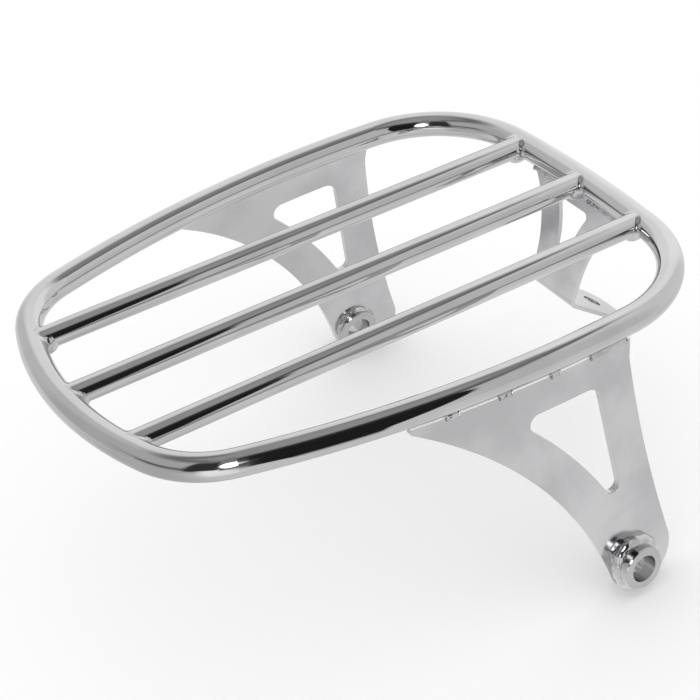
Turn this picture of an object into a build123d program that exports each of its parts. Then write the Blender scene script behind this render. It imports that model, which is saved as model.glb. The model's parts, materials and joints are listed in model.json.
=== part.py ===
from build123d import *
import os
from math import asin, cos, degrees, radians, sin, sqrt, tan

# Motorcycle luggage rack, in millimetres.
# +X is the bike's front, +Y its left and +Z is up.
# The origin is the centre of the foot's bolt hole, on the foot's underside.
# Deck sizes are measured from the middle of the hoop's front end, on the tube's centre line.

# Hoop: a tube bent in one plane, with a radius and a turn for each bend from the front to a rear corner
TUBE_RADIUS = 7.0
TUBE_WALL = 1.5
FRONT_RADIUS = 680.0
FRONT_TURN = 4.7
CORNER_RADIUS = 63.0
CORNER_TURN = 81.7
SIDE_RADIUS = 595.0
SIDE_TURN = 20.1
REAR_CORNER_RADIUS = 48.0
REAR_CORNER_TURN = 52.8
SEAM_Y = 25.0
SEAM_WIDTH = 2.5

# Bars: thinner tubes along the deck, almost flush with the hoop's top
BAR_RADIUS = 6.0
BAR_WALL = 1.5
BAR_PITCH = 50.0
BAR_RISE = 0.6
BAR_WELD_RADIUS = 7.5
BAR_WELD_DEPTH = 0.7
BAR_WELD_DROP = 1.6

# Side plates: sheet rolled to the hoop's side, leaning outward on the way down
PLATE_THICKNESS = 4.0
PLATE_OUTER = 4.6
PLATE_SPLAY = 6.3
PLATE_TIP = (-188.3, -9.4)
PLATE_HEEL = (-83.8, -152.0)
PLATE_TOE = (-40.5, -152.0)
PLATE_NOTCH = (-65.8, -17.0)
PLATE_TOP_CORNER_X = -63.7
PLATE_LOWER_RADIUS = 223.0
PLATE_FRONT_RADIUS = 600.0
PLATE_END_RADIUS = 16.0
PLATE_REAR_TURN = 13.5
PLATE_FRONT_TURN = 22.0

# Window in each side plate: two straight sides and one bowed side
WINDOW_REAR = (-134.6, -24.3)
WINDOW_FRONT = (-85.9, -23.8)
WINDOW_FOOT = (-74.2, -111.0)
WINDOW_BOW = 6.1
WINDOW_REAR_RADIUS = 5.3
WINDOW_FRONT_RADIUS = 8.2
WINDOW_FOOT_RADIUS = 4.1

# Tack welds along each side plate's top edge: (middle, length) along the deck
TACK_RADIUS = 1.8
TACK_OUTER = 4.4
TACK_DROP = 6.3
TACKS = ((-167.0, 7.0), (-138.5, 7.0), (-110.5, 5.0), (-78.5, 22.0))

# Bushes: thick tubes through the plates' lower ends, with a fat ring bead outside and a small one inside
BUSH_X = -73.4
BUSH_Z = -135.5
BUSH_RADIUS = 12.0
BUSH_BORE_RADIUS = 7.5
BUSH_OUTSIDE = 10.2
BUSH_INSIDE = 4.5
BUSH_CHAMFER = 0.6
BEAD_ROOT = 0.6
OUTER_BEAD_RADIUS = 15.7
OUTER_BEAD_CROWN = (14.9, 4.3)
OUTER_BEAD_HEIGHT = 5.4
INNER_BEAD_RADIUS = 13.6
INNER_BEAD_CROWN = (13.3, 1.2)
INNER_BEAD_HEIGHT = 2.2

# Front bracket: one folded sheet, upright under the hoop's front end and a sloping foot
BRACKET_THICKNESS = 2.5
BRACKET_TILT = 18.5
FOLD_X = -23.2
FOLD_Z = -62.9
FOLD_RADIUS = 6.0
FOOT_SLOPE = 36.0
FOOT_HOLE_REACH = 34.5
FOOT_HOLE_RADIUS = 5.25
FOOT_LENGTH = 53.0
FOOT_END_RADIUS = 12.0
BRACKET_FOLD_HALF = 17.3
BRACKET_WAIST = (18.6, 21.0)
BRACKET_FLARE_MIDDLE = (22.8, 38.0)
BRACKET_SHOULDER = (33.7, 56.6)
BRACKET_TOP = (46.0, 64.0)
BRACKET_WINDOW_TOP = (13.5, 52.7)
BRACKET_WINDOW_MIDDLE = (7.0, 37.0)
BRACKET_WINDOW_FOOT = (5.2, 23.0)
BRACKET_WINDOW_RADIUS = 3.0
BRACKET_BEAD_RADIUS = 1.6
BRACKET_BEAD_DROP = 6.6
BRACKET_BEAD_INSET = 4.3
BRACKET_BEAD_SPAN = (9.5, 36.0)

FAR = 400.0


def travel(bends):
    """Place and total turn after bends that start at the hoop's front middle, heading left."""
    x = 0.0
    y = 0.0
    turned = 0.0
    for radius, turn in bends:
        x += radius * (cos(radians(turned + turn)) - cos(radians(turned)))
        y += radius * (sin(radians(turned + turn)) - sin(radians(turned)))
        turned += turn
    return x, y, turned


def heading(turned):
    """Direction of the hoop's centre line after it has turned this far."""
    return (-sin(radians(turned)), cos(radians(turned)))


def draw_bends(start, direction, bends):
    """Chain tangent arcs from a start point."""
    for radius, turn in bends:
        bend = JernArc(start, direction, radius, turn)
        start = bend @ 1
        direction = bend % 1


def arc_sag(radius, y):
    """How far an end arc that is centred on the X axis falls back at this distance from it."""
    return radius - sqrt(radius**2 - y**2)


# The rear end closes the outline on the X axis
front_bends = [(FRONT_RADIUS, FRONT_TURN), (CORNER_RADIUS, CORNER_TURN)]
half_bends = front_bends + [(SIDE_RADIUS, SIDE_TURN), (REAR_CORNER_RADIUS, REAR_CORNER_TURN)]
half_y, half_turn = travel(half_bends)[1:]
rear_turn = 180.0 - half_turn
rear_radius = half_y / sin(radians(rear_turn))
rear_x = travel(half_bends + [(rear_radius, rear_turn)])[0]

# Planes: the deck lies in the hoop's centre plane, the side view stands on the middle of the rack
foot_slope = radians(FOOT_SLOPE)
fold_x = -FOOT_HOLE_REACH * cos(foot_slope)
fold_z = FOOT_HOLE_REACH * sin(foot_slope)
deck_x = fold_x - FOLD_X
deck_z = fold_z - FOLD_Z
deck = Plane((deck_x, 0, deck_z))
side_view = Plane((deck_x, 0, deck_z), x_dir=(1, 0, 0), z_dir=(0, -1, 0))
foot_up = (sin(foot_slope), 0, cos(foot_slope))
foot_plane = Plane((0, 0, 0), x_dir=(cos(foot_slope), 0, -sin(foot_slope)), z_dir=foot_up)
bracket_tilt = radians(BRACKET_TILT)
bracket_ahead = (cos(bracket_tilt), 0, -sin(bracket_tilt))
bracket_plane = Plane((fold_x, 0, fold_z), x_dir=(0, 1, 0), z_dir=bracket_ahead)

# Hoop, open at its seam between the middle and left bars at the rear end
seam_angle = degrees(asin(SEAM_Y / rear_radius))
seam_turn = degrees(SEAM_WIDTH / rear_radius)
seam_x, seam_y, seam_heading = travel(half_bends + [(rear_radius, rear_turn - seam_angle)])
start_x, start_y, start_heading = travel(half_bends + [(rear_radius, rear_turn - seam_angle + seam_turn)])
first_bend = (rear_radius, rear_turn + seam_angle - seam_turn)
last_bend = (rear_radius, rear_turn - seam_angle)

hoop_bends = [first_bend] + half_bends[::-1] + half_bends + [last_bend]

with BuildLine(deck) as hoop_line:
    draw_bends((start_x, start_y), heading(start_heading), hoop_bends)

with BuildPart() as hoop:
    with BuildSketch(Plane(hoop_line.line @ 0, z_dir=hoop_line.line % 0)):
        Circle(TUBE_RADIUS)
        Circle(TUBE_RADIUS - TUBE_WALL, mode=Mode.SUBTRACT)
    sweep(path=hoop_line.line)
hoop.part.label = "hoop"

with BuildPart() as hoop_envelope:
    with BuildSketch(Plane(hoop_line.line @ 0, z_dir=hoop_line.line % 0)):
        Circle(TUBE_RADIUS)
    sweep(path=hoop_line.line)

with BuildPart() as hoop_butt_weld:
    with BuildLine(deck) as seam_line:
        draw_bends((seam_x, seam_y), heading(seam_heading), [(rear_radius, seam_turn)])
    with BuildSketch(Plane(seam_line.line @ 0, z_dir=seam_line.line % 0)):
        Circle(TUBE_RADIUS)
        Circle(TUBE_RADIUS - TUBE_WALL, mode=Mode.SUBTRACT)
    sweep(path=seam_line.line)
hoop_butt_weld.part.label = "hoop_butt_weld"


def make_bar(y, wall):
    """A bar at this distance from the middle, its ends coped to the hoop. No wall makes it solid."""
    rear_end = rear_x + arc_sag(rear_radius, y)
    front_end = -arc_sag(FRONT_RADIUS, y)
    with BuildPart() as bar:
        with BuildSketch(Plane((deck_x + rear_end, y, deck_z + BAR_RISE), z_dir=(1, 0, 0))):
            Circle(BAR_RADIUS)
            if wall:
                Circle(BAR_RADIUS - wall, mode=Mode.SUBTRACT)
        extrude(amount=front_end - rear_end)
        add(hoop_envelope.part, mode=Mode.SUBTRACT)
    return bar


bar_places = {"left": BAR_PITCH, "middle": 0.0, "right": -BAR_PITCH}
bars = {}
bar_envelopes = {}
for place, bar_y in bar_places.items():
    bars[place] = make_bar(bar_y, BAR_WALL)
    bars[place].part.label = f"bar_{place}"
    bar_envelopes[place] = make_bar(bar_y, 0.0)


def make_bar_weld(bar_y, hoop_x, toward_bar):
    """The bead under and beside a bar's end. It fades out below the bar's top, which is left clean."""
    centre_x = deck_x + hoop_x + toward_bar * (TUBE_RADIUS - BAR_WELD_DEPTH)
    with BuildPart() as weld:
        with Locations((centre_x, bar_y, deck_z + BAR_RISE - BAR_WELD_DROP)):
            Sphere(BAR_WELD_RADIUS)
        add(hoop_envelope.part, mode=Mode.SUBTRACT)
        for bar_envelope in bar_envelopes.values():
            add(bar_envelope.part, mode=Mode.SUBTRACT)
    return weld


bar_welds = {}
for place, bar_y in bar_places.items():
    for end, hoop_x, toward_bar in (
        ("front", -arc_sag(FRONT_RADIUS, bar_y), -1),
        ("rear", rear_x + arc_sag(rear_radius, bar_y), 1),
    ):
        bar_welds[place, end] = make_bar_weld(bar_y, hoop_x, toward_bar)
        bar_welds[place, end].part.label = f"bar_{place}_{end}_weld"

# Front bracket: the folded sheet is cut to its outline, notched around the middle bar and coped to the hoop
upright_top = (FOLD_X + FAR * sin(bracket_tilt), FOLD_Z + FAR * cos(bracket_tilt))
foot_end = (FOLD_X + FOOT_LENGTH * cos(foot_slope), FOLD_Z - FOOT_LENGTH * sin(foot_slope))

with BuildPart() as front_bracket:
    with BuildSketch(side_view):
        with BuildLine():
            FilletPolyline(upright_top, (FOLD_X, FOLD_Z), foot_end, radius=FOLD_RADIUS)
            offset(amount=BRACKET_THICKNESS, side=Side.LEFT)
        make_face()
    extrude(amount=BRACKET_TOP[0], both=True)
    with BuildSketch(bracket_plane) as bracket_face:
        with BuildLine():
            keel = Line((0, -FAR), (BRACKET_FOLD_HALF, -FAR))
            heel = Line(keel @ 1, (BRACKET_FOLD_HALF, 0))
            cheek = Line(heel @ 1, BRACKET_WAIST)
            flare = ThreePointArc(cheek @ 1, BRACKET_FLARE_MIDDLE, BRACKET_SHOULDER)
            shoulder = Line(flare @ 1, BRACKET_TOP)
            brow = Line(shoulder @ 1, (0, BRACKET_TOP[1]))
            Line(brow @ 1, keel @ 0)
        make_face()
        with BuildLine():
            lintel = Line((0, BRACKET_WINDOW_TOP[1]), BRACKET_WINDOW_TOP)
            jamb = ThreePointArc(lintel @ 1, BRACKET_WINDOW_MIDDLE, BRACKET_WINDOW_FOOT)
            sill = Line(jamb @ 1, (0, BRACKET_WINDOW_FOOT[1]))
            Line(sill @ 1, lintel @ 0)
        make_face(mode=Mode.SUBTRACT)
        mirror(about=Plane.YZ)
        fillet(bracket_face.face().inner_wires()[0].vertices(), BRACKET_WINDOW_RADIUS)
    extrude(amount=FAR, both=True, mode=Mode.INTERSECT)
    fillet(front_bracket.edges().filter_by(Axis((0, 0, 0), foot_plane.z_dir)), FOOT_END_RADIUS)
    with BuildSketch(foot_plane):
        Circle(FOOT_HOLE_RADIUS)
    extrude(amount=BRACKET_THICKNESS, mode=Mode.SUBTRACT)
    add(hoop_envelope.part, mode=Mode.SUBTRACT)
    add(bar_envelopes["middle"].part, mode=Mode.SUBTRACT)
    add(bar_welds["middle", "front"].part, mode=Mode.SUBTRACT)
front_bracket.part.label = "front_bracket"

# The bead along the bracket's top edge, on each side of the middle bar
bead_radius = FRONT_RADIUS - BRACKET_BEAD_INSET
bead_start = degrees(asin(BRACKET_BEAD_SPAN[0] / bead_radius))
bead_end = degrees(asin(BRACKET_BEAD_SPAN[1] / bead_radius))
with BuildPart() as front_bracket_weld:
    with BuildLine(deck.offset(-BRACKET_BEAD_DROP)) as bead_line:
        CenterArc((-FRONT_RADIUS, 0), bead_radius, bead_start, bead_end - bead_start)
    with BuildSketch(Plane(bead_line.line @ 0, z_dir=bead_line.line % 0)):
        Circle(BRACKET_BEAD_RADIUS)
    sweep(path=bead_line.line)
    mirror(about=Plane.XZ)
    add(hoop_envelope.part, mode=Mode.SUBTRACT)
    add(front_bracket.part, mode=Mode.SUBTRACT)
    add(bar_welds["middle", "front"].part, mode=Mode.SUBTRACT)
front_bracket_weld.part.label = "front_bracket_weld"

# Frame of the left side: the middle of the side's arc, and the line where that arc meets the front corner
joint_x, joint_y, joint_turn = travel(front_bends)
joint_out = (cos(radians(joint_turn)), sin(radians(joint_turn)))
side_centre = (joint_x - SIDE_RADIUS * joint_out[0], joint_y - SIDE_RADIUS * joint_out[1])
corner_centre = (joint_x - CORNER_RADIUS * joint_out[0], joint_y - CORNER_RADIUS * joint_out[1])
joint_plane = Plane(
    (deck_x + joint_x, joint_y, deck_z), x_dir=(*joint_out, 0), z_dir=(joint_out[1], -joint_out[0], 0)
)
lean = tan(radians(PLATE_SPLAY))


def upright_axis(centre):
    """The upright line through a bend's centre."""
    return Axis((deck_x + centre[0], centre[1], 0), (0, 0, 1))


def side_yaw(x, radius):
    """Angle of the side's outward normal from +Y, at this place on an arc around the side's centre."""
    return asin((x - side_centre[0]) / radius)


bush_reach = SIDE_RADIUS + PLATE_OUTER - (TUBE_RADIUS + BUSH_Z) * lean
bush_yaw = side_yaw(BUSH_X, bush_reach)
bush_y = side_centre[1] + bush_reach * cos(bush_yaw)
bush_axis = Vector(sin(bush_yaw), cos(bush_yaw), lean).normalized()
bush_plane = Plane((deck_x + BUSH_X, bush_y, deck_z + BUSH_Z), x_dir=(1, 0, 0), z_dir=bush_axis)

# The sheet is rolled in two runs, along the side and on into the front corner, and cut to one outline
plate_inner = PLATE_OUTER - PLATE_THICKNESS / cos(radians(PLATE_SPLAY))
plate_drop = -PLATE_HEEL[1]
with BuildSketch(joint_plane) as plate_section:
    with BuildLine():
        Polyline(
            (PLATE_OUTER, -TUBE_RADIUS),
            (plate_inner, -TUBE_RADIUS),
            (plate_inner + plate_drop * lean, -TUBE_RADIUS - plate_drop),
            (PLATE_OUTER + plate_drop * lean, -TUBE_RADIUS - plate_drop),
            close=True,
        )
    make_face()

with BuildSketch(side_view) as plate_face:
    with BuildLine():
        lower_edge = RadiusArc(PLATE_TIP, PLATE_HEEL, PLATE_LOWER_RADIUS)
        sole = Line(lower_edge @ 1, PLATE_TOE)
        front_edge = RadiusArc(sole @ 1, PLATE_NOTCH, PLATE_FRONT_RADIUS)
        ear = Line(front_edge @ 1, (PLATE_TOP_CORNER_X, 0))
        crown = Line(ear @ 1, (PLATE_TIP[0], 0))
        Line(crown @ 1, lower_edge @ 0)
    make_face()
    for corner in (PLATE_HEEL, PLATE_TOE):
        fillet(plate_face.vertices().sort_by_distance(corner)[0], PLATE_END_RADIUS)
    with BuildLine():
        top_side = Line(WINDOW_REAR, WINDOW_FRONT)
        front_side = Line(top_side @ 1, WINDOW_FOOT)
        SagittaArc(front_side @ 1, top_side @ 0, -WINDOW_BOW)
    make_face(mode=Mode.SUBTRACT)
    for corner, radius in (
        (WINDOW_REAR, WINDOW_REAR_RADIUS),
        (WINDOW_FRONT, WINDOW_FRONT_RADIUS),
        (WINDOW_FOOT, WINDOW_FOOT_RADIUS),
    ):
        fillet(plate_face.vertices().sort_by_distance(corner)[0], radius)

plate_runs = []
for bend_centre, bend_turn in ((side_centre, PLATE_REAR_TURN), (corner_centre, -PLATE_FRONT_TURN)):
    with BuildPart() as plate_run:
        revolve(plate_section.sketch, axis=upright_axis(bend_centre), revolution_arc=bend_turn)
        extrude(plate_face.sketch, amount=-FAR, mode=Mode.INTERSECT)
    plate_runs.append(plate_run.part)

with BuildPart() as side_plate_left:
    add(plate_runs)
    with BuildSketch(bush_plane):
        Circle(BUSH_RADIUS)
    extrude(amount=BUSH_RADIUS, both=True, mode=Mode.SUBTRACT)
side_plate_left.part.label = "side_plate_left"

with BuildPart() as bush_left:
    with BuildSketch(bush_plane.offset(-PLATE_THICKNESS - BUSH_INSIDE)):
        Circle(BUSH_RADIUS)
        Circle(BUSH_BORE_RADIUS, mode=Mode.SUBTRACT)
    extrude(amount=BUSH_INSIDE + PLATE_THICKNESS + BUSH_OUTSIDE)
    chamfer(bush_left.edges().filter_by(GeomType.CIRCLE).group_by(SortBy.RADIUS)[-1], BUSH_CHAMFER)
bush_left.part.label = "bush_left"


def make_bush_weld(face_plane, radius, crown, height):
    """The ring bead around the bush on one face of the side plate."""
    section_plane = Plane(
        face_plane.origin, x_dir=face_plane.x_dir, z_dir=face_plane.x_dir.cross(face_plane.z_dir)
    )
    with BuildPart() as weld:
        with BuildSketch(section_plane):
            with BuildLine():
                root = Line((BUSH_RADIUS, -BEAD_ROOT), (radius, -BEAD_ROOT))
                throat = ThreePointArc(root @ 1, crown, (BUSH_RADIUS, height))
                Line(throat @ 1, root @ 0)
            make_face()
        revolve(axis=Axis(face_plane.origin, face_plane.z_dir))
        add(side_plate_left.part, mode=Mode.SUBTRACT)
    return weld


bush_left_outer_weld = make_bush_weld(
    bush_plane, OUTER_BEAD_RADIUS, OUTER_BEAD_CROWN, OUTER_BEAD_HEIGHT
)
bush_left_outer_weld.part.label = "bush_left_outer_weld"
inner_face = Plane(
    bush_plane.origin - bush_axis * PLATE_THICKNESS, x_dir=bush_plane.x_dir, z_dir=-bush_plane.z_dir
)
bush_left_inner_weld = make_bush_weld(
    inner_face, INNER_BEAD_RADIUS, INNER_BEAD_CROWN, INNER_BEAD_HEIGHT
)
bush_left_inner_weld.part.label = "bush_left_inner_weld"

tack_path_radius = SIDE_RADIUS + TACK_OUTER
with BuildPart() as side_plate_left_tacks:
    for tack_x, tack_length in TACKS:
        tack_turn = degrees(tack_length / tack_path_radius)
        tack_start = 90.0 - degrees(side_yaw(tack_x, tack_path_radius)) - tack_turn / 2
        with BuildLine(deck.offset(-TACK_DROP)) as tack_line:
            CenterArc(side_centre, tack_path_radius, tack_start, tack_turn)
        with BuildSketch(Plane(tack_line.line @ 0, z_dir=tack_line.line % 0)):
            Circle(TACK_RADIUS)
        sweep(path=tack_line.line)
    add(hoop_envelope.part, mode=Mode.SUBTRACT)
    add(side_plate_left.part, mode=Mode.SUBTRACT)
side_plate_left_tacks.part.label = "side_plate_left_tacks"

# The right side mirrors the left
left_welds = [side_plate_left_tacks, bush_left_outer_weld, bush_left_inner_weld]
left_pieces = [side_plate_left, bush_left, *left_welds]
right_pieces = []
for left_piece in left_pieces:
    with BuildPart() as right_piece:
        mirror(left_piece.part, about=Plane.XZ)
    right_piece.part.label = left_piece.part.label.replace("left", "right")
    right_pieces.append(right_piece)

os.makedirs("parts", exist_ok=True)
middle_pieces = [hoop, *bars.values(), front_bracket]
middle_welds = [hoop_butt_weld, *bar_welds.values(), front_bracket_weld]
for piece in middle_pieces + middle_welds + left_pieces + right_pieces:
    export_step(piece.part, f"parts/{piece.part.label}.step")
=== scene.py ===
# %% [markdown]
# # A chromed luggage rack
#
# This rack carries a bag behind a motorcycle's seat. It is a hoop of bent tube with three thinner bars
# across it, two sheet side plates that drop to bolted bushes, and a folded bracket in front. All of it is
# welded first and chromed last, so one bright skin covers tube, sheet and weld alike.
#
# The solids come from the frame at their real size. This lesson gives them what a camera sees: rounded
# sheet edges, rippled weld beads, a chrome finish and a studio for the chrome to mirror.

# %% Load the rack
import json
import math
from typing import NamedTuple

import bmesh
import bpy
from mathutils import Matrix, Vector, kdtree, noise
from mathutils.bvhtree import BVHTree


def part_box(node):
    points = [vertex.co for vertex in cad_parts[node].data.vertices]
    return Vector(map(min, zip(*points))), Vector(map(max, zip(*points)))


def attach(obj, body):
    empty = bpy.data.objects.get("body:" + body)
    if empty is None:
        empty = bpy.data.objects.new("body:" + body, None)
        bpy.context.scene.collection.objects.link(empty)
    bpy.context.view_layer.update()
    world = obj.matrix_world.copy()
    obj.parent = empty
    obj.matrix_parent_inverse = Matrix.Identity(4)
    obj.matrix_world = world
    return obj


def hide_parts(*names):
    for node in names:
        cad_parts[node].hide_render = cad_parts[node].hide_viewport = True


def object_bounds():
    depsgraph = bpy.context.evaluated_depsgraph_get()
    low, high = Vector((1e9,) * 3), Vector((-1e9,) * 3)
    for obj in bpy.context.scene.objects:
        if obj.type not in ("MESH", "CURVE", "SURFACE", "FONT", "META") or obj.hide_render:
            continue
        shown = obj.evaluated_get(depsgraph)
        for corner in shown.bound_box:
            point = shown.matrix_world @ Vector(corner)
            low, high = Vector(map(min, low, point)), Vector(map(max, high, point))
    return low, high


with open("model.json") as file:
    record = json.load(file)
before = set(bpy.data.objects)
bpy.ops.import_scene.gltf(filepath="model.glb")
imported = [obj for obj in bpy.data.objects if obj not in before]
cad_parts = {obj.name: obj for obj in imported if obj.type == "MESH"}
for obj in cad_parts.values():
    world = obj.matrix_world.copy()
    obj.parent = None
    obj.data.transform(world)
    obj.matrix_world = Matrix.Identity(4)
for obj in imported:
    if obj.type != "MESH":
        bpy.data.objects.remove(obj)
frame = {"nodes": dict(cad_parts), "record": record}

scene = bpy.context.scene
scene.view_settings.view_transform = "Standard"
solids = frame["nodes"]
mounts = {mount["name"]: mount for mount in frame["record"]["mounts"]}
cad_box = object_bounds()
lowest = cad_box[0].z
print("solids:", len(solids), "lowest point:", round(lowest * 1000, 2), "mm")

# %% [markdown]
# ## Camera
#
# The photograph looks down on the rack from behind its rear right corner, with a long lens. A long lens
# flattens perspective, so the three bars stay almost parallel. The place and turn were found by lining up
# the outlines of the tubes, and the camera never moves after that.

# %% Place the camera
CAMERA_PLACE = (-0.55645, -0.69914, 0.63444)
CAMERA_TURN = (53.475, 3.981, -32.681)
CAMERA_LENS = 99.59

camera_data = bpy.data.cameras.new("camera")
camera_data.lens = CAMERA_LENS
camera = bpy.data.objects.new("camera", camera_data)
camera.location = CAMERA_PLACE
camera.rotation_euler = [math.radians(angle) for angle in CAMERA_TURN]
scene.collection.objects.link(camera)
scene.camera = camera
print("camera", round((camera.location - Vector(mounts["deck"]["pos_m"])).length, 3), "m from the deck")

# %% [markdown]
# ## Nodes in few words
#
# Every finish below is a small node tree, and building one node by node is wordy. A few short helpers keep
# the trees readable: one empties a tree, one adds a node, fills its sockets and links whatever is already a
# socket, and the rest do that for arithmetic and for soft steps.


# %% Helpers for node trees
def empty_tree(owner):
    """Switches a material or world to nodes and clears what it starts with."""
    owner.use_nodes = True
    owner.node_tree.nodes.clear()
    return owner.node_tree


def add_node(tree, kind, sockets=None, **settings):
    """Adds a node. A socket given a value is set, and one given another node's output is linked."""
    node = tree.nodes.new(kind)
    for name, value in settings.items():
        setattr(node, name, value)
    for name, value in (sockets or {}).items():
        if isinstance(value, bpy.types.NodeSocket):
            tree.links.new(value, node.inputs[name])
        else:
            node.inputs[name].default_value = value
    return node


def arithmetic(tree, operation, first, second=0.0):
    """One step of arithmetic on numbers or sockets."""
    return add_node(tree, "ShaderNodeMath", {0: first, 1: second}, operation=operation).outputs[0]


def hypotenuse(tree, first, second):
    """The longest side of a triangle, from its two sides at the right angle."""
    squares = [arithmetic(tree, "POWER", side, 2.0) for side in (first, second)]
    return arithmetic(tree, "SQRT", arithmetic(tree, "ADD", *squares))


def ramp(tree, value, start, end):
    """A soft step from 0 to 1 while the value goes from start to end."""
    sockets = {"Value": value, "From Min": start, "From Max": end}
    return add_node(tree, "ShaderNodeMapRange", sockets, interpolation_type="SMOOTHSTEP").outputs[0]


def rise(tree, value, middle, rim):
    """A soft step up around a middle. With a rim below zero it is a step down."""
    return ramp(tree, value, middle - rim, middle + rim)


print("helpers for node trees are ready")

# %% [markdown]
# ## What the chrome mirrors
#
# Chrome has little colour of its own: it shows the room. Polished goods are photographed on a white table
# inside a tent of white cloth. The black streaks that make the tubes read as metal are the dark gap that the
# photographer leaves beside the lens, and the white spot at the corner is a lamp next to it. Each patch of
# that room is named by its bearing and its height, in degrees, as seen from the middle of the deck. Later
# patches lie over earlier ones. The table below the horizon and the cloth above it use the same list, so
# that a gap can run on down over the table.


# %% Shades of the room
class Patch(NamedTuple):
    """A patch of the room. Its rims are soft at its sides, bottom and top, and a lean slants its sides."""

    name: str
    shade: float
    bearings: tuple
    heights: tuple
    soft: tuple
    lean: tuple = (0.0, 0.0)


TENT_CLOTH = 0.97
ALL_ROUND = (-300, 300)
FAR_BELOW = -200
FAR_ABOVE = 200
ROOM_PATCHES = [
    # Rows below the horizon lie on the table, and there they are painted light and shade.
    Patch("table", 0.91, ALL_ROUND, (FAR_BELOW, -12), (1, 1, 3)),
    # A painted shadow: the table darker under the hoop.
    Patch("table under the hoop", 0.78, ALL_ROUND, (-66, -50), (1, 8, 8)),
    # Painted light and shade: the table lighter on the right and darker behind.
    Patch("table on the right", 1.0, (-78, -15), (-62, -32), (12, 12, 12)),
    Patch("table behind", 0.68, (158, 212), (-80, -6), (14, 12, 6)),
    Patch("side cloth", 0.79, (98, 160), (-8, 60), (9, 6, 10)),
    Patch("back cloth", 0.64, (134, 262), (-8, 75), (12, 6, 10)),
    Patch("window side", 1.13, (12, 92), (-12, 50), (10, 3, 8)),
    Patch("window", 1.26, (10, 46), (0, 50), (9, 8, 8)),
    Patch("right cloth", 0.77, (-82, -40), (-10, 58), (12, 5, 8)),
    Patch("roof", 0.46, ALL_ROUND, (60, FAR_ABOVE), (5, 12, 5)),
    Patch("roof hem, behind", 0.24, (72, 215), (62, 76), (10, 9, 8)),
    Patch("roof hem, right", 0.36, (-5, 60), (58, 70), (14, 5, 8)),
    Patch("roof hem, middle", 0.22, (-55, 5), (53, 64), (12, 3, 8)),
    Patch("roof hem, left", 0.09, (-112, -50), (49, 62), (10, 4, 8)),
    Patch("gap at the lens", 0.020, (-104.4, -82.6), (-20, 59), (0.8, 4, 13), lean=(0.0, 0.38)),
    Patch("tail of the far gap", 0.17, (170, 222), (9, 21), (14, 4, 7)),
    Patch("far gap", 0.05, (-149, -121), (4, 63), (3.5, 4, 14)),
    Patch("over the lamp", 0.32, (-121, -104), (48, 76), (2, 9, 8)),
    # A painted pool of light from the lamp on the table.
    Patch("lamp on the table", 1.35, (-137, -112), (-24, 8), (6, 12, 4)),
    Patch("dim cloth at the lamp", 0.12, (-121, -104), (2, 46), (1.4, 6, 8)),
]
ROOM_LAMP = {
    "shade": 6.0,
    "bearing": -112.9,
    "height": 27.0,
    "half_width": 7.5,
    "half_height": 14.0,
    "soft": 0.25,
}
print("patches in the room:", len(ROOM_PATCHES))

# %% Find the shade of a place
FULL_TURN = 360.0

room_middle = Vector(mounts["deck"]["pos_m"])


def room_direction(tree):
    """Bearing and height, in degrees, of a place on the cloth or the table."""
    place = add_node(tree, "ShaderNodeTexCoord").outputs["Object"]
    ends = {0: place, 1: room_middle}
    offset = add_node(tree, "ShaderNodeVectorMath", ends, operation="SUBTRACT").outputs[0]
    parts = add_node(tree, "ShaderNodeSeparateXYZ", {0: offset}).outputs
    reach = hypotenuse(tree, parts[0], parts[1])
    bearing = arithmetic(tree, "DEGREES", arithmetic(tree, "ARCTAN2", parts[1], parts[0]))
    height = arithmetic(tree, "DEGREES", arithmetic(tree, "ARCTAN2", parts[2], reach))
    return bearing, height


def patch_mask(tree, patch, bearing, wrapped, height):
    """How far a place is inside a patch, from 0 to 1. A patch across the back needs the wrapped bearing."""
    left, right = patch.bearings
    low, high = patch.heights
    side, bottom, top = patch.soft
    around = wrapped if left > 0 else bearing
    from_left, from_right = (
        arithmetic(tree, "SUBTRACT", around, arithmetic(tree, "MULTIPLY", height, lean))
        for lean in patch.lean
    )
    across = arithmetic(
        tree, "MULTIPLY", rise(tree, from_left, left, side), rise(tree, from_right, right, -side))
    upright = arithmetic(
        tree, "MULTIPLY", rise(tree, height, low, bottom), rise(tree, height, high, -top))
    return arithmetic(tree, "MULTIPLY", across, upright)


def lamp_mask(tree, bearing, height):
    """How far a place is inside the oval of the lamp, from 0 to 1."""
    across = arithmetic(tree, "SUBTRACT", bearing, ROOM_LAMP["bearing"])
    above = arithmetic(tree, "SUBTRACT", height, ROOM_LAMP["height"])
    from_lamp = hypotenuse(
        tree,
        arithmetic(tree, "DIVIDE", across, ROOM_LAMP["half_width"]),
        arithmetic(tree, "DIVIDE", above, ROOM_LAMP["half_height"]),
    )
    return rise(tree, from_lamp, 1, -ROOM_LAMP["soft"])


def room_shade(tree):
    """Brightness of the room at a place on the cloth or the table, from the patches and the lamp."""
    bearing, height = room_direction(tree)
    wrapped = arithmetic(tree, "FLOORED_MODULO", bearing, FULL_TURN)
    layers = [(patch_mask(tree, patch, bearing, wrapped, height), patch.shade) for patch in ROOM_PATCHES]
    layers.append((lamp_mask(tree, bearing, height), ROOM_LAMP["shade"]))
    # On the table these shades are painted light and shade, in place of the table's own shading.
    shade = TENT_CLOTH
    for mask, layer in layers:
        shade = add_node(tree, "ShaderNodeMix", {"Factor": mask, "A": shade, "B": layer}).outputs[0]
    return shade


print("the room is seen from", [round(value, 4) for value in room_middle])

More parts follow.
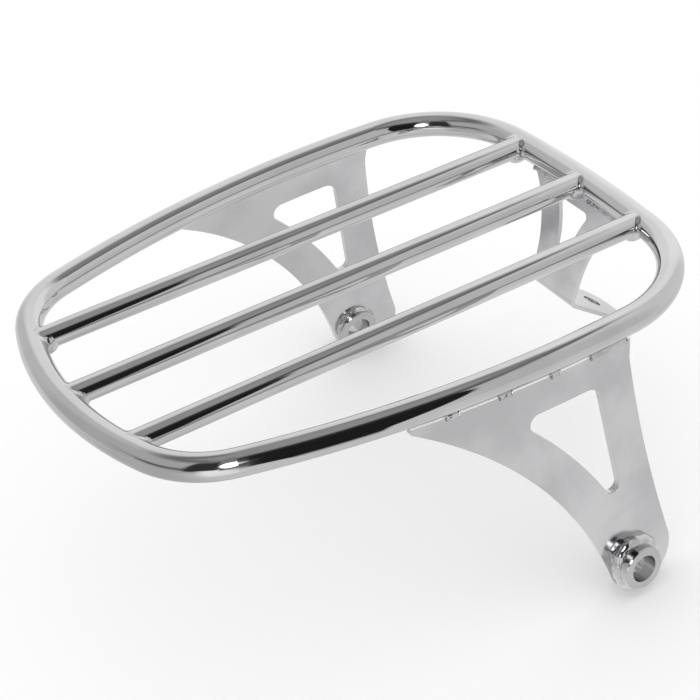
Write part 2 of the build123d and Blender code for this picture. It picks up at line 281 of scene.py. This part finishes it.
# %% [markdown]
# ## Floor and light
#
# The rack stands on a pale table in plain, even light. The world is white at a strength of one, so the table
# renders as white as it is painted, and one broad lamp overhead leaves a soft shadow under the rack. To the
# camera the table is plain paint. To the chrome it glows with painted light instead of its own shading: the
# shades of the room, with a painted pool of light at the lamp and a painted shadow under the goods, because
# a table in a tent is brighter at the lamp and darker under the goods. The lamp itself is kept out of
# reflections: the room already has one.

# %% Lay the floor
FLOOR_HALF = 6.0
FLOOR_SQUARES = 8
FLOOR_WHITE = 0.97
WHITE = (1, 1, 1, 1)

floor_shape = bmesh.new()
bmesh.ops.create_grid(floor_shape, x_segments=FLOOR_SQUARES, y_segments=FLOOR_SQUARES, size=FLOOR_HALF)
bmesh.ops.translate(floor_shape, verts=floor_shape.verts, vec=(0, 0, lowest))
floor_mesh = bpy.data.meshes.new("floor")
floor_shape.to_mesh(floor_mesh)
floor_shape.free()
floor = bpy.data.objects.new("floor", floor_mesh)
scene.collection.objects.link(floor)

table_paint_and_painted_light = bpy.data.materials.new("table_paint_and_painted_light")
tree = empty_tree(table_paint_and_painted_light)
paint = add_node(tree, "ShaderNodeBsdfDiffuse", {"Color": (FLOOR_WHITE, FLOOR_WHITE, FLOOR_WHITE, 1)})
# To glossy rays the table glows with painted light and shade from the room's patches, in place of its own
# shading.
painted_room_light = add_node(tree, "ShaderNodeEmission", {"Color": WHITE, "Strength": room_shade(tree)})
in_mirror = add_node(tree, "ShaderNodeLightPath").outputs["Is Glossy Ray"]
table = add_node(tree, "ShaderNodeMixShader", {0: in_mirror, 1: paint.outputs[0], 2: painted_room_light.outputs[0]})
add_node(tree, "ShaderNodeOutputMaterial", {"Surface": table.outputs[0]})
table_paint_and_painted_light.cycles.emission_sampling = "NONE"
floor_mesh.materials.append(table_paint_and_painted_light)
print("floor at", round(lowest * 1000, 2), "mm")

# %% Hang the lamp
LAMP_HEIGHT = 1.2
LAMP_SIZE = 1.4
LAMP_POWER = 1.5

studio = bpy.data.worlds.new("studio")
tree = empty_tree(studio)
white_air = add_node(tree, "ShaderNodeBackground", {"Color": WHITE, "Strength": 1.0})
add_node(tree, "ShaderNodeOutputWorld", {"Surface": white_air.outputs[0]})
scene.world = studio

lamp_data = bpy.data.lights.new("overhead_lamp", "AREA")
lamp_data.size = LAMP_SIZE
lamp_data.energy = LAMP_POWER
lamp = bpy.data.objects.new("overhead_lamp", lamp_data)
lamp.location = (room_middle.x, room_middle.y, LAMP_HEIGHT)
lamp.visible_glossy = False
scene.collection.objects.link(lamp)
print("lamp of", LAMP_POWER, "W")

# %% [markdown]
# ## The light tent
#
# The cloth of the tent is a dome around the rack that only reflections can see, so it lights nothing else
# and casts no shadow. It ends at the table.

# %% Pitch the tent
TENT_RADIUS = 0.9
TENT_SEGMENTS = 96
TENT_RINGS = 48
UP = Vector((0, 0, 1))

tent_shape = bmesh.new()
bmesh.ops.create_uvsphere(tent_shape, u_segments=TENT_SEGMENTS, v_segments=TENT_RINGS, radius=TENT_RADIUS)
bmesh.ops.translate(tent_shape, verts=tent_shape.verts, vec=room_middle)
bmesh.ops.bisect_plane(
    tent_shape,
    geom=tent_shape.verts[:] + tent_shape.edges[:] + tent_shape.faces[:],
    plane_co=(0, 0, lowest),
    plane_no=UP,
    clear_inner=True,
)
tent_mesh = bpy.data.meshes.new("light_tent")
tent_shape.to_mesh(tent_mesh)
tent_shape.free()
tent = bpy.data.objects.new("light_tent", tent_mesh)
tent.visible_camera = False
tent.visible_diffuse = False
tent.visible_shadow = False
scene.collection.objects.link(tent)

cloth = bpy.data.materials.new("tent_cloth")
tree = empty_tree(cloth)
glow = add_node(tree, "ShaderNodeEmission", {"Color": WHITE, "Strength": room_shade(tree)})
add_node(tree, "ShaderNodeOutputMaterial", {"Surface": glow.outputs[0]})
cloth.cycles.emission_sampling = "NONE"
tent_mesh.materials.append(cloth)
print("tent of", len(tent_mesh.polygons), "faces")

# %% [markdown]
# ## Four kinds of chrome
#
# Plating copies what lies under it. Drawn tube is polished round and round before plating, so it mirrors
# sharply with only a faint waviness. Sheet is flatter and less worked, so its reflections are softer and
# drift over large areas. Along the top of the side plates, where weld metal was ground back, it is satin,
# and there its grey is painted lighter: a painted highlight that stands for the lamp the satin strip
# catches. The bushes were turned on a lathe and are a little darker. Weld beads keep their ripples and pits.
# All four are the grey of chromium and differ in how light, how rough and how wavy they are, so one
# function makes them from a few values.


# %% Mix the chrome
CLOUD_CONTRAST = (0.36, 0.64)
CLOUD_DETAIL = 4.0
BUFFING_CONTRAST = (0.3, 0.7)
BUFFING_DETAIL = 6.0
BUFFING_MARKS = 4
WAVE_DETAIL = 2.0
# A painted highlight: the lighter grey of the satin strip stands for the lamp that it catches.
GROUND_HIGHLIGHT_GREY = (0.9, 0.9, 0.9, 1)
GROUND_ROUGH = 0.45
GROUND_HIGHLIGHT_FADE = 0.0004


def clouds(tree, place, scale, detail):
    """Soft random clouds over a surface."""
    sockets = {"Vector": place, "Scale": scale, "Detail": detail}
    return add_node(tree, "ShaderNodeTexNoise", sockets).outputs[0]


def mixed_colour(tree, share, first, second):
    """A colour between two others."""
    sockets = {"Factor": share, "A": first, "B": second}
    return add_node(tree, "ShaderNodeMix", sockets, data_type="RGBA").outputs["Result"]


def chrome(name, bright, dull, smooth, rough, patch, wave, wave_height, ground_highlight_above=None):
    """Chrome that wanders between two greys and two roughnesses over patches, on a gently wavy surface.

    Above a given height it is satin, and its grey is painted lighter as a painted highlight.
    """
    material = bpy.data.materials.new(name)
    tree = empty_tree(material)
    place = add_node(tree, "ShaderNodeTexCoord").outputs["Object"]
    dimmed = ramp(tree, clouds(tree, place, 1 / patch, CLOUD_DETAIL), *CLOUD_CONTRAST)
    grey = mixed_colour(tree, dimmed, (*bright, 1), (*dull, 1))
    gloss = add_node(tree, "ShaderNodeMapRange", {
        "Value": clouds(tree, place, BUFFING_MARKS / patch, BUFFING_DETAIL),
        "From Min": BUFFING_CONTRAST[0],
        "From Max": BUFFING_CONTRAST[1],
        "To Min": smooth,
        "To Max": rough,
    }).outputs[0]
    # The strip where weld metal was ground back is satin, and its lighter grey is a painted highlight.
    if ground_highlight_above is not None:
        height = add_node(tree, "ShaderNodeSeparateXYZ", {0: place}).outputs[2]
        ground_highlight = ramp(tree, height, ground_highlight_above, ground_highlight_above + GROUND_HIGHLIGHT_FADE)
        grey = mixed_colour(tree, ground_highlight, grey, GROUND_HIGHLIGHT_GREY)
        gloss = add_node(tree, "ShaderNodeMix", {"Factor": ground_highlight, "A": gloss, "B": GROUND_ROUGH}).outputs[0]
    relief = add_node(tree, "ShaderNodeBump", {
        "Height": clouds(tree, place, 1 / wave, WAVE_DETAIL),
        "Distance": wave_height,
        "Strength": 1.0,
    })
    metal = add_node(tree, "ShaderNodeBsdfPrincipled", {
        "Base Color": grey,
        "Metallic": 1.0,
        "Roughness": gloss,
        "Normal": relief.outputs[0],
    })
    add_node(tree, "ShaderNodeOutputMaterial", {"Surface": metal.outputs[0]})
    return material


print("chrome wanders between two greys at a contrast of", CLOUD_CONTRAST)

# %% Plate the solids
GROUND_HIGHLIGHT_START = 0.0005

plate_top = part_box("side_plate_left")[1].z
chromed_tube = chrome(
    "chromed_tube",
    bright=(0.555, 0.555, 0.56),
    dull=(0.52, 0.52, 0.525),
    smooth=0.03,
    rough=0.07,
    patch=0.03,
    wave=0.02,
    wave_height=0.00002,
)
chromed_sheet = chrome(
    "chromed_sheet",
    bright=(0.595, 0.595, 0.605),
    dull=(0.495, 0.495, 0.505),
    smooth=0.12,
    rough=0.24,
    patch=0.05,
    wave=0.025,
    wave_height=0.00008,
    ground_highlight_above=plate_top + GROUND_HIGHLIGHT_START,
)
turned_chrome = chrome(
    "turned_chrome",
    bright=(0.48, 0.48, 0.485),
    dull=(0.43, 0.43, 0.435),
    smooth=0.06,
    rough=0.14,
    patch=0.02,
    wave=0.004,
    wave_height=0.00002,
)
chromed_weld = chrome(
    "chromed_weld",
    bright=(0.575, 0.575, 0.58),
    dull=(0.48, 0.48, 0.485),
    smooth=0.08,
    rough=0.18,
    patch=0.008,
    wave=0.002,
    wave_height=0.00006,
)

finishes = {"chromed_tube": chromed_tube, "chromed_sheet": chromed_sheet, "chromed_weld": chromed_weld}
for solid in solids.values():
    slot_name = solid.data.materials[0].name.split(".")[0]
    solid.data.materials.clear()
    solid.data.materials.append(finishes[slot_name])
solids["hoop_butt_weld"].data.materials[0] = chromed_tube
for side in ("left", "right"):
    solids[f"bush_{side}"].data.materials[0] = turned_chrome
print("finishes:", ", ".join(finishes), "and", turned_chrome.name)

# %% [markdown]
# ## Working on a copy
#
# A solid of the frame is never changed. Where the real surface has more to it, such as a rounded edge or a
# ripple, a copy is shaped and stands in for the solid. The copy is merged first, because the frame's
# triangles are loose, and it keeps crisp edges only where two faces meet at a real corner. The solid's own
# shading doesn't fit the new shape, so the copy drops it.

# %% Copy and show
MERGE_REACH = 1e-6
CORNER = math.radians(35)


def merged_copy(node):
    """A mesh to shape, with the loose triangles of a solid joined."""
    shape = bmesh.new()
    shape.from_mesh(solids[node].data)
    bmesh.ops.remove_doubles(shape, verts=shape.verts, dist=MERGE_REACH)
    return shape


def is_corner(edge):
    """Whether the two faces beside an edge meet at a real corner."""
    return len(edge.link_faces) == 2 and edge.calc_face_angle() > CORNER


def show_piece(shape, node, finish):
    """Makes a shaped copy into a piece that stands for its solid."""
    for face in shape.faces:
        face.smooth = True
    for edge in shape.edges:
        edge.smooth = not is_corner(edge)
    name = node + "_finish"
    mesh = bpy.data.meshes.new(name)
    shape.to_mesh(mesh)
    shape.free()
    if "custom_normal" in mesh.attributes:
        mesh.attributes.remove(mesh.attributes["custom_normal"])
    mesh.materials.clear()
    mesh.materials.append(finishes[finish])
    piece = bpy.data.objects.new(name, mesh)
    scene.collection.objects.link(piece)
    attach(piece, "root")
    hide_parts(node)
    print(name, len(mesh.vertices), "points", len(mesh.polygons), "faces")
    return piece


# %% [markdown]
# ## Rounded sheet edges
#
# The side plates and the front bracket were cut from flat sheet, and then polished before plating. Polishing
# takes the cut edges off, so each edge is a narrow round that catches a line of light. A bevel with a few
# segments makes that round. It is narrow, because a wide one would make the sheet look cast. Weld metal has
# run in along the top of the side plates and closed the slot under the hoop, so their top edge is first
# raised until it meets the tube.

# %% Round the sheet
SHEET_ROUNDS = {"side_plate_left": 0.0008, "side_plate_right": 0.0008, "front_bracket": 0.0006}
SHEET_SEGMENTS = 4
TOP_EDGE = 0.0002
WIDEST_SLOT = 0.0025

hoop_shape = merged_copy("hoop")
hoop_skin = BVHTree.FromBMesh(hoop_shape)
hoop_shape.free()


def close_slot(sheet):
    """Raises the top edge of a sheet to the hoop, where the hoop is right above it."""
    for vert in sheet.verts:
        if vert.co.z > plate_top - TOP_EDGE:
            place, _, _, gap = hoop_skin.ray_cast(vert.co, UP)
            if place is not None and gap < WIDEST_SLOT:
                vert.co = place


for node, sheet_round in SHEET_ROUNDS.items():
    sheet = merged_copy(node)
    if node.startswith("side_plate"):
        close_slot(sheet)
    bmesh.ops.bevel(
        sheet,
        geom=[edge for edge in sheet.edges if is_corner(edge)],
        offset=sheet_round,
        offset_type="OFFSET",
        affect="EDGES",
        segments=SHEET_SEGMENTS,
        profile=0.5,
        material=-1,
        clamp_overlap=True,
    )
    piece = show_piece(sheet, node, "chromed_sheet")
    even_shading = piece.modifiers.new("even_shading", "WEIGHTED_NORMAL")
    even_shading.keep_sharp = True

# %% [markdown]
# ## Rippled welds
#
# A weld bead is a row of small puddles that froze one after the other, so it is a chain of overlapping coins
# with lumps between them. The solids give each bead its true place and its outer size. Here its skin is
# pressed inward between the coins. Nothing is pushed out, so the bead stays inside its solid, and the rim
# where it meets its neighbours stays put, so no gap opens.

# %% Press ripples into the beads
RIM_FADE = 0.0012
SAMPLES_ALONG_RIM = 4
LUMP_SHIFT = (1.0, 0.7, 1.3)


def rim_distance(shape):
    """Distance from any point to the corners of a shape, as a function."""
    rim = [edge for edge in shape.edges if is_corner(edge)]
    samples = kdtree.KDTree(len(rim) * SAMPLES_ALONG_RIM)
    for number, edge in enumerate(rim):
        start, end = (vert.co for vert in edge.verts)
        for step in range(SAMPLES_ALONG_RIM):
            samples.insert(start.lerp(end, step / SAMPLES_ALONG_RIM), number * SAMPLES_ALONG_RIM + step)
    samples.balance()
    return lambda point: samples.find(point)[2]


def press(shape, depth, fill):
    """Presses the skin inward by up to a depth. The fill of a place goes from 0, a valley, to 1, a crest."""
    shape.normal_update()
    reach = rim_distance(shape)
    moves = []
    for vert in shape.verts:
        fade = min(1.0, reach(vert.co) / RIM_FADE)
        moves.append(vert.normal * -depth * fade * (1 - fill(vert.co)))
    for vert, move in zip(shape.verts, moves):
        vert.co += move


def lumps(size, seed):
    """Soft random lumps of about one size, the same at each run."""
    shift = Vector([seed * factor for factor in LUMP_SHIFT])
    return lambda point: 0.5 + 0.5 * noise.noise(point / size + shift)


print("ripples fade out", RIM_FADE * 1000, "mm from a rim")

# %% [markdown]
# ### Ring beads at the bushes
#
# The bushes carry the rack's load, so each has a bead all round on both faces of its plate, a fat one
# outside and a small one inside. The coins follow one another around the bush, and the angle around its bore
# says which coin a point belongs to. The inner bead is drawn in all round, and the outer one only where the
# plate's rear edge leaves it little room.

# %% Crests around a bush
COINS = 13
COIN_SHARE = 0.6
COIN_SLANT = 0.004
COIN_UNEVENNESS = 1.7
LUMP_SIZE = 0.004


def coins_around(mount, seed):
    """Crests that follow one another around a bore, with uneven steps."""
    centre = Vector(mount["pos_m"])
    axis = Vector(mount["axis"]).normalized()
    across = axis.orthogonal().normalized()
    along = axis.cross(across)
    lump = lumps(LUMP_SIZE, seed)

    def fill(point):
        arm = point - centre
        angle = math.atan2(arm.dot(along), arm.dot(across))
        uneven = noise.noise(Vector((math.cos(angle), math.sin(angle), seed)) * COIN_UNEVENNESS)
        coin = 0.5 + 0.5 * math.cos(COINS * angle + uneven + arm.dot(axis) / COIN_SLANT)
        return COIN_SHARE * coin + (1 - COIN_SHARE) * lump(point)

    return fill


print("coins around each bush:", COINS)

# %% Ring beads
SIDES = ("left", "right")
COIN_DEPTH = 0.0007
RING_SEED = 0.37
BUSH_RADIUS = 0.012
BEAD_WIDTH = 0.004
INNER_PULL = 0.0011
EDGE_PULL = 0.0024
EDGE_FOCUS = 3
PLATE_EDGE_SIDE = Vector((-0.97, 0, -0.23))


def draw_in(bead, mount, all_round):
    """Draws a ring bead in towards its bush, all round and where the plate's rear edge runs close to it."""
    centre = Vector(mount["pos_m"])
    axis = Vector(mount["axis"]).normalized()
    for vert in bead.verts:
        arm = vert.co - centre
        outward = arm - axis * arm.dot(axis)
        share = max(0.0, outward.length - BUSH_RADIUS) / BEAD_WIDTH
        facing = max(0.0, outward.normalized().dot(PLATE_EDGE_SIDE))
        vert.co -= outward.normalized() * share * max(all_round, EDGE_PULL * facing**EDGE_FOCUS)


for number, side in enumerate(SIDES):
    mount = mounts[f"bush_{side}_bore"]
    for face, pull in (("outer", 0.0), ("inner", INNER_PULL)):
        node = f"bush_{side}_{face}_weld"
        bead = merged_copy(node)
        draw_in(bead, mount, pull)
        press(bead, COIN_DEPTH, coins_around(mount, number + RING_SEED))
        show_piece(bead, node, "chromed_weld")

# %% [markdown]
# ### Beads at the bar ends
#
# Each bar end has a bead under and beside it. The top was ground clean, so that a bag can slide over it, and
# there the bar flows into the hoop with a small hollow round. The bead is the solid with one or two soft
# lumps. The hollow round is a ring of curves, each of which leaves the bar along its side and arrives at the
# hoop along its skin.

# %% Hollow rounds
BLEND_REACH = 0.0032
BLEND_SIDES = 48
BLEND_STEPS = 7
BLEND_SINK = 0.00004
BLEND_ROOT = 0.0008


def blend_into_hoop(bead, bar, towards):
    """Adds a hollow round between a bar's end and the hoop. Its root lies hidden inside both."""
    low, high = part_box(bar)
    middle = Vector([(a + b) / 2 for a, b in zip(low, high)])
    radius = (high.y - low.y) / 2
    rings = []
    for side in range(BLEND_SIDES):
        angle = math.tau * side / BLEND_SIDES
        outward = Vector((0, math.cos(angle), math.sin(angle)))
        meeting, _, _, _ = hoop_skin.ray_cast(middle + outward * radius, towards)
        on_bar = meeting - towards * BLEND_REACH - outward * BLEND_SINK
        on_hoop, skin, _, _ = hoop_skin.find_nearest(meeting + outward * BLEND_REACH)
        on_hoop = on_hoop - skin * BLEND_SINK
        root = meeting + towards * BLEND_ROOT - outward * BLEND_ROOT
        curve = []
        for step in range(BLEND_STEPS + 1):
            share = step / BLEND_STEPS
            curve.append(on_bar.lerp(meeting, share).lerp(meeting.lerp(on_hoop, share), share))
        rings.append([bead.verts.new(place) for place in curve + [root]])
    added = []
    for ring, following in zip(rings, rings[1:] + rings[:1]):
        for step in range(len(ring)):
            after = (step + 1) % len(ring)
            added.append(bead.faces.new((ring[step], ring[after], following[after], following[step])))
    bmesh.ops.recalc_face_normals(bead, faces=added)


print("hollow rounds reach", BLEND_REACH * 1000, "mm")

# %% Beads at the bar ends
BAR_BEAD_DEPTH = 0.0006
BAR_LUMP = 0.0036
BAR_ENDS = {"front": (Vector((1, 0, 0)), 3.05), "rear": (Vector((-1, 0, 0)), 2.44)}

for number, place in enumerate(("left", "middle", "right")):
    for end, (towards, end_seed) in BAR_ENDS.items():
        node = f"bar_{place}_{end}_weld"
        bead = merged_copy(node)
        press(bead, BAR_BEAD_DEPTH, lumps(BAR_LUMP, number + end_seed))
        blend_into_hoop(bead, f"bar_{place}", towards)
        show_piece(bead, node, "chromed_weld")

# %% [markdown]
# ### Tacks and the bracket's bead
#
# The side plates hang from short tacks, and a thin bead runs along the bracket's top edge. Such a run starts
# and stops with a taper, so the skin is also pressed in towards both ends of each run. The runs are
# few-sided, so they are divided first to give the ripples something to move.

# %% Runs that taper
RUN_TAPER = 0.0032
RUN_LEAST_FILL = 0.35


def separate_runs(shape):
    """The points of each run that isn't joined to another."""
    left = set(shape.verts)
    while left:
        run = {left.pop()}
        edge_of_run = list(run)
        while edge_of_run:
            for edge in edge_of_run.pop().link_edges:
                for vert in edge.verts:
                    if vert in left:
                        left.remove(vert)
                        run.add(vert)
                        edge_of_run.append(vert)
        yield run


def tapered_runs(shape, lump, along):
    """Lumps that also fall away towards both ends of each run."""
    spans = []
    for run in separate_runs(shape):
        places = [vert.co[along] for vert in run]
        spans.append((min(places), max(places)))

    def fill(point):
        inset = max(min(point[along] - low, high - point[along]) for low, high in spans)
        end = max(0.0, min(1.0, inset / RUN_TAPER))
        return math.sqrt(end) * (RUN_LEAST_FILL + (1 - RUN_LEAST_FILL) * lump(point))

    return fill


print("runs taper over", RUN_TAPER * 1000, "mm")

# %% Tacks and the bracket's bead
X_AXIS = 0
Y_AXIS = 1
RUNS = {"side_plate_left_tacks": X_AXIS, "side_plate_right_tacks": X_AXIS, "front_bracket_weld": Y_AXIS}
RUN_DEPTH = 0.0012
RUN_LUMP = 0.0014
RUN_SEED = 2.3
RUN_STEP = 0.0005
RUN_CUTS = 3

for number, (node, along) in enumerate(RUNS.items()):
    runs = merged_copy(node)
    long_edges = [edge for edge in runs.edges if edge.calc_length() > RUN_STEP]
    bmesh.ops.subdivide_edges(runs, edges=long_edges, cuts=RUN_CUTS, use_grid_fill=True)
    bmesh.ops.triangulate(runs, faces=runs.faces)
    press(runs, RUN_DEPTH, tapered_runs(runs, lumps(RUN_LUMP, number + RUN_SEED), along))
    show_piece(runs, node, "chromed_weld")
